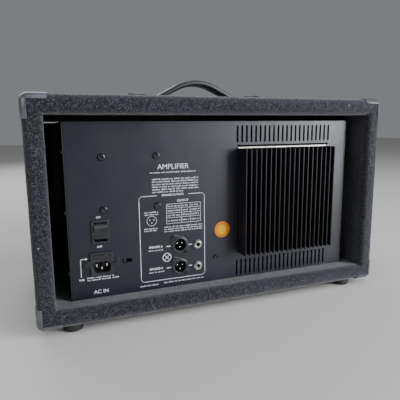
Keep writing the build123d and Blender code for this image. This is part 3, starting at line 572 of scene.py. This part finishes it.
class Ink:
    def __init__(self, name, right, outward, face_y):
        self.name, self.right, self.outward, self.face_y = name, right, outward, face_y
        self.work = bmesh.new()

    def at(self, x, z, rise):
        return (self.right * x * MM, self.face_y + self.outward * rise * MM, z * MM)

    def patch(self, points):
        add_prism(self.work, [[self.at(x, z, h) for x, z in points] for h in (INK_FOOT, INK_TOP)])

    def line(self, start, end, width=0.7):
        start, end = Vector(start), Vector(end)
        along = (end - start).normalized() * width / 2
        across = Vector((-along.y, along.x))
        self.patch([start - along + across, start - along - across,
                    end + along - across, end + along + across])

    def path(self, points, width=0.7):
        for start, end in zip(points, points[1:]):
            self.line(start, end, width)

    def ring(self, x, z, radius, width=0.7, pieces=40):
        """A ring of short wedges that share their ends."""
        layers = []
        for rise in (INK_FOOT, INK_TOP):
            for r in (radius - width / 2, radius + width / 2):
                layers.append([self.work.verts.new(self.at(x + r * cos(2 * pi * k / pieces),
                                                           z + r * sin(2 * pi * k / pieces), rise))
                               for k in range(pieces)])
        for a, b in ((0, 1), (1, 3), (3, 2), (2, 0)):
            for k in range(pieces):
                n = (k + 1) % pieces
                self.work.faces.new((layers[a][k], layers[a][n], layers[b][n], layers[b][k]))

    def dot(self, x, z, radius, pieces=20):
        self.patch([(x + radius * cos(2 * pi * k / pieces), z + radius * sin(2 * pi * k / pieces))
                    for k in range(pieces)])

    def words(self, text, x, z, height, weight=0.0):
        """Lettering centred on a point; height is that of the capitals."""
        curve = bpy.data.curves.new("words", "FONT")
        curve.body = text
        curve.size = height / 0.7 * MM
        curve.align_x, curve.align_y = "CENTER", "CENTER"
        curve.extrude = 0.025 * MM
        curve.offset = weight * MM
        curve.resolution_u = 3
        holder = bpy.data.objects.new("words", curve)
        bpy.context.collection.objects.link(holder)
        mesh = bpy.data.meshes.new_from_object(holder.evaluated_get(bpy.context.evaluated_depsgraph_get()))
        columns = ((self.right, 0, 0), (0, 0, 1), (0, self.outward, 0))
        turned = Matrix(columns).transposed().to_4x4()
        turned.translation = self.at(x, z, 0.035)
        mesh.transform(turned)
        self.work.from_mesh(mesh)
        bpy.data.objects.remove(holder)
        bpy.data.curves.remove(curve)
        bpy.data.meshes.remove(mesh)

    def small_print(self, left, right, z, height, seed):
        """A line of marks that stands for small print and can't be read."""
        random = Random(seed)
        x = left
        while x < right:
            letters = random.randint(2, 8)
            for _ in range(letters):
                width = height * random.uniform(0.25, 0.5)
                if x + width > right:
                    return
                rise = height * random.choice((0.72, 0.72, 1))
                self.patch([(x, z), (x + width, z), (x + width, z + rise), (x, z + rise)])
                x += width + height * 0.3
            x += height * 0.6

    def finish(self):
        mesh = mesh_from(self.work, self.name)
        place_piece(self.name, mesh, ["print"])


def rounded_frame(ink, left, right, low, high, radius, gap, width=0.9):
    """A rounded rectangle whose top side is broken by a gap (from, to)."""
    centres = ((left + radius, high - radius, 90), (left + radius, low + radius, 180),
               (right - radius, low + radius, 270), (right - radius, high - radius, 0))
    points = [(gap[0], high)]
    for x, z, start in centres:
        points += turn((x, z), radius, start, start + 90)
    ink.path(points + [(gap[1], high)], width)


def print_rear():
    """The print beside the sockets. A row position X is read at -X from behind."""
    ink = Ink("rear_print", -1, 1, panel_y)
    ink.words("ON", -186.9, 153.6, 2.7, 0.1)
    ink.words("OFF", -186.9, 111.6, 2.7, 0.1)
    ink.path([(-213.9, 70.4), (-213.9, 96), (-207.2, 96)], 0.9)
    ink.patch([(-207.6, 98), (-204.2, 96), (-207.6, 94)])
    ink.words("FUSE", -213.4, 66.2, 2.4, 0.1)
    for row, (left, right) in enumerate(((-206, -168), (-206, -160))):
        ink.small_print(left, right, 66.9 - 3.4 * row, 2.3, 20 + row)
    ink.words("AC IN", -187.5, 46, 5.4, 0.1)
    ink.words("AMPLIFIER", -77, 219.6, 7.4)
    ink.small_print(-112, -40.4, 210.9, 2.1, 1)
    for row in range(6):
        ink.small_print(-109.2, -37.6 if row < 5 else -62, 201.2 - 3.75 * row, 2.2, 2 + row)
    rounded_frame(ink, -129.1, -28.8, 50.3, 178.4, 5, (-103, -54))
    ink.words("SPEAKER OUTPUTS", -78.6, 178.4, 2.7, 0.1)
    ink.words("OUTPUT", -63.4, 169, 3.2, 0.1)
    for z in (164.8, 158.3, 151.3, 144.3, 135.5):
        ink.line((-88.6, z), (-35.3, z), 0.5)
    for x in (-88.6, -65.5, -51.8, -35.3):
        ink.line((x, 164.8), (x, 135.5), 0.5)
    for row, z in enumerate((160.4, 153.7, 146.7, 138.8)):
        for column, (left, right) in enumerate(((-87, -67), (-63.8, -53.4), (-50, -37))):
            ink.small_print(left, right, z, 2.2, 30 + 3 * row + column)
    for row in range(3):
        ink.small_print(-92.3, -32.9, 129.8 - 3.3 * row, 1.9, 50 + row)
    ink.ring(-111.1, 141.7, 7.2, 0.5)
    for dx, dz in ((-3, 1.6), (3, 1.6), (0, -3)):
        ink.dot(-111.1 + dx, 141.7 + dz, 0.8)
    for row in range(2):
        ink.small_print(-122, -100.5, 153.6 - 3.4 * row, 2.1, 60 + row)
    ink.small_print(-122.5, -100.9, 129.4, 1.9, 64)
    ink.small_print(-122.5, -104, 126.4, 1.9, 65)
    for letter, z in (("A", 101.9), ("B", 68.6)):
        ink.words(f"SPEAKER {letter}", -106.1, z, 3.0, 0.14)
        ink.small_print(-117.2, -94, z - 6, 1.9, 70 + ord(letter))
        ink.line((-89.4, z - 0.8), (-83.6, z - 0.8), 1.3)
        ink.line((-54.4, z - 1.4), (-50, z - 1.4), 1.3)
    ink.ring(-89.3, 84.3, 6.3, 1.1)
    for a in (45, 135):
        step = Vector((cos(radians(a)), sin(radians(a)))) * 5.6
        centre = Vector((-89.3, 84.3))
        ink.line(centre - step, centre + step, 1.0)
    ink.small_print(-94.6, -30.6, 44.6, 2.1, 80)
    ink.small_print(-130.8, -100.7, 43.4, 2.3, 81)
    ink.finish()


def print_front():
    """Names, dials and a border round the controls of the unseen front."""
    ink = Ink("front_print", 1, -1, front_y)
    z = control_z / MM
    for name in knob_names:
        low, high = span(name)
        x = (low.x + high.x) / 2 / MM
        ink.words(name[5:].upper(), x, z + 26, 3.2, 0.1)
        for mark in range(11):
            angle = radians(240 - 30 * mark)
            way = Vector((cos(angle), sin(angle)))
            centre = Vector((x, z))
            ink.line(centre + way * 14.2, centre + way * 15.8, 0.5)
            if mark % 2 == 0:
                spot = centre + way * 18
                ink.words(str(mark), spot.x, spot.y, 1.9)
    for x, text in ((-212, "HIGH"), (-176, "LOW"), (-136, "BRIGHT"), (188, "CHANNEL"), (217, "POWER")):
        ink.words(text, x, z + 13.5, 2.6, 0.08)
    ink.words("INPUT", -194, z + 26, 3.2, 0.1)
    rounded_frame(ink, -228, 228, z - 30, z + 36, 6, (-40, 40))
    ink.words("GUITAR AMPLIFIER", 0, z + 36, 4, 0.1)
    ink.finish()


# ---- knobs: fluted grips on a skirt, each with a white line ----
def make_knob(node):
    low, high = span(node)
    x, z = (low.x + high.x) / 2, (low.z + high.z) / 2
    back = front_y - 1.5 * MM
    grip, skirt, around = 10.9, 12.9, 96
    profile = [(2.9, -9), (2.9, 0), (skirt - 0.4, 0), (skirt, 0.5), (skirt - 0.3, 2.2), (skirt - 1, 2.9),
               (grip, 3.4), (grip - 0.1, 5), (grip - 0.5, 13.5), (grip - 1.1, 15.0), (grip - 1.9, 15.4),
               (grip - 2.6, 15.2), (3, 15.0)]
    verts = []
    for radius, height in profile:
        fluted = 4 < height < 14
        for k in range(around):
            angle = 2 * pi * k / around
            r = radius - (0.45 * (0.5 - 0.5 * cos(24 * angle)) if fluted else 0)
            verts.append((x + r * MM * cos(angle), back - height * MM, z + r * MM * sin(angle)))
    faces = grid_faces(len(profile), around, False, True)
    faces += [tuple(range(around)), tuple(range(len(verts) - around, len(verts)))]
    mesh = bpy.data.meshes.new(node)
    mesh.from_pydata(verts, [], faces)
    work = bmesh.new()
    work.from_mesh(mesh)
    for inner, outer, rise in ((2.2, grip - 2.7, 15.0), (grip + 0.4, skirt - 1.1, 2.6)):
        ring = [(-0.6, inner), (0.6, inner), (0.6, outer), (-0.6, outer)]
        add_prism(work, [[(x + dx * MM, back - h * MM, z + dz * MM) for dx, dz in ring]
                         for h in (rise - 0.3, rise + 0.3)], 1)
    mesh = mesh_from(work, f"{node}_grip")
    smooth(mesh, 40)
    place_piece(f"{node}_grip", mesh, ["knob", "print"], node, node)


def make_sticker():
    low, high = span("inspection_sticker")
    centre, radius = (low + high) / 2, (high.x - low.x) / 2
    LOOKS["sticker"] = sticker_look(centre, radius)
    work = bmesh.new()
    around, rings = 64, 8
    random = Random(3)
    layers = []
    for i in range(rings + 1):
        share = i / rings
        lift = 0.09 * MM + 0.05 * MM * share * random.uniform(0.6, 1)
        angles = [2 * pi * k / around for k in range(around if i else 1)]
        layers.append([work.verts.new((centre.x + radius * share * cos(a), panel_y + lift,
                                       centre.z + radius * share * sin(a))) for a in angles])
    for k in range(around):
        n = (k + 1) % around
        work.faces.new((layers[0][0], layers[1][n], layers[1][k]))
        for i in range(1, rings):
            work.faces.new((layers[i][k], layers[i][n], layers[i + 1][n], layers[i + 1][k]))
    skin = bmesh.ops.extrude_face_region(work, geom=work.faces[:])
    for item in skin["geom"]:
        if isinstance(item, bmesh.types.BMVert):
            item.co.y = panel_y + 0.01 * MM
    mesh = mesh_from(work, "sticker_disc")
    smooth(mesh, 50)
    place_piece("sticker_disc", mesh, ["sticker"], node="inspection_sticker")


# ---- the rest keeps its CAD shape, with its sharp edges rounded ----
FUSE_X, FUSE_GLASS_HALF = 0.185, 0.0045
EDGES = {"rear_panel": 0.2, "front_panel": 0.2, "corner_protectors": 0.5, "rubber_feet": 0.5,
         "handle_end_caps": 0.4, "rocker_frame": 0.4, "power_rocker": 0.8, "mains_inlet": 0.4,
         "transformer_winding": 1.5, "power_lamp": 0.2, "chassis_tray": 0.2, "filter_capacitors": 0.6}
TWO_TONE = {"speaker_jacks": ("nickel", lambda c: int(c.y > panel_y - 1 * MM)),
            "input_jacks": ("nickel", lambda c: int(c.y < front_y + 1 * MM)),
            "mains_fuse": ("nickel", lambda c: int(abs(c.x - FUSE_X) > FUSE_GLASS_HALF))}
# colours for the rounded edges of these parts: partly rubbed wear, partly a painted highlight where the edges
# catch light
WEAR_AND_HIGHLIGHT_EDGES = {"corner_protectors": "wear_and_highlight_black", "wood_screws": "wear_and_highlight_black", "panel_screws": "wear_and_highlight_black",
        "mains_inlet": "wear_and_highlight_black", "xlr_shells": "painted_highlight_edge",
        "rocker_frame": "wear_and_highlight_black", "power_rocker": "wear_and_highlight_black"}
PLAIN = ("top_board", "bottom_board", "left_side_board", "right_side_board")
OTHER_LOOK = {"chassis_tray": "chassis_paint", "chassis_cover": "chassis_paint", "jack_nuts": "dull_nickel",
              "selector_slider": "rubber", "selector_body": "rubber"}
OTHER_SLOT = {"connector_screws": "black_screw", "handle_screws": "black_screw"}

make_carpet()
make_floor_lining()
make_strap()
make_heat_sink()
make_sticker()
print_rear()
print_front()
for knob in knob_names:
    make_knob(knob)
made_by_hand = {"carpet_covering", "handle_strap", "heat_sink", "inspection_sticker", *knob_names}
for node, cad in frame["nodes"].items():
    if node in made_by_hand:
        continue
    slot_of[node] = OTHER_SLOT.get(node, slot_of[node])
    look = OTHER_LOOK.get(node, slot_of[node])
    if node in PLAIN:
        cad.data.materials.clear()
        cad.data.materials.append(LOOKS[look])
        continue
    second, choose = TWO_TONE.get(node, (None, None))
    refined(node, [look] + ([second] if second else []), EDGES.get(node, 0.25), WEAR_AND_HIGHLIGHT_EDGES.get(node), choose)


# ---- stage, camera, light ----
def pale(name, colour, roughness):
    mat = bpy.data.materials.new(name)
    mat.use_nodes = True
    shader = mat.node_tree.nodes["Principled BSDF"]
    shader.inputs["Base Color"].default_value = (*colour, 1)
    shader.inputs["Roughness"].default_value = roughness
    return mat


bpy.ops.mesh.primitive_plane_add(size=14, location=(0, 0, 0))
floor = bpy.context.object
floor.name = "floor"
floor.data.materials.append(pale("floor", (0.62, 0.60, 0.58), 0.7))

camera = bpy.data.objects.new("camera", bpy.data.cameras.new("camera"))
bpy.context.collection.objects.link(camera)
bpy.context.scene.camera = camera
camera.data.lens = 37.85
camera.data.clip_start = 0.01
CAMERA_SPOT = (0.2611, 0.6966, 0.2759)
YAW, PITCH, ROLL = 21.19, -9.87, -0.47
forward = Vector((-sin(radians(YAW)) * cos(radians(PITCH)), -cos(radians(YAW)) * cos(radians(PITCH)),
                  sin(radians(PITCH))))
aim = forward.to_track_quat("-Z", "Y").to_matrix().to_4x4()
camera.matrix_world = Matrix.Translation(CAMERA_SPOT) @ aim @ Matrix.Rotation(radians(ROLL), 4, "Z")


def soft_light(name, spot, target, size, power, colour=(1, 1, 1)):
    lamp = bpy.data.lights.new(name, "AREA")
    lamp.shape = "RECTANGLE"
    lamp.size, lamp.size_y = size
    lamp.energy = power
    lamp.color = colour
    holder = bpy.data.objects.new(name, lamp)
    bpy.context.collection.objects.link(holder)
    way = Vector(target) - Vector(spot)
    holder.matrix_world = Matrix.Translation(spot) @ way.to_track_quat("-Z", "Y").to_matrix().to_4x4()


COOL = (0.93, 0.95, 1)
soft_light("key", (-1.8, 1.8, 0.8), (-0.1, 0.1, 0.15), (1.3, 1.5), 115, COOL)
soft_light("top", (-0.5, 1.1, 2.0), (0, 0.1, 0.15), (1.6, 1.2), 14, COOL)
soft_light("fill", (2.1, 0.9, 0.8), (0.2, 0.1, 0.15), (1.0, 1.0), 20, (0.92, 0.95, 1))
soft_light("front_fill", (0.6, -1.9, 1.6), (0, -0.1, 0.15), (2.0, 1.6), 34)
world = bpy.data.worlds.new("studio")
bpy.context.scene.world = world
world.use_nodes = True
background = world.node_tree.nodes["Background"]
background.inputs["Color"].default_value = (*COOL, 1)
background.inputs["Strength"].default_value = 0.22
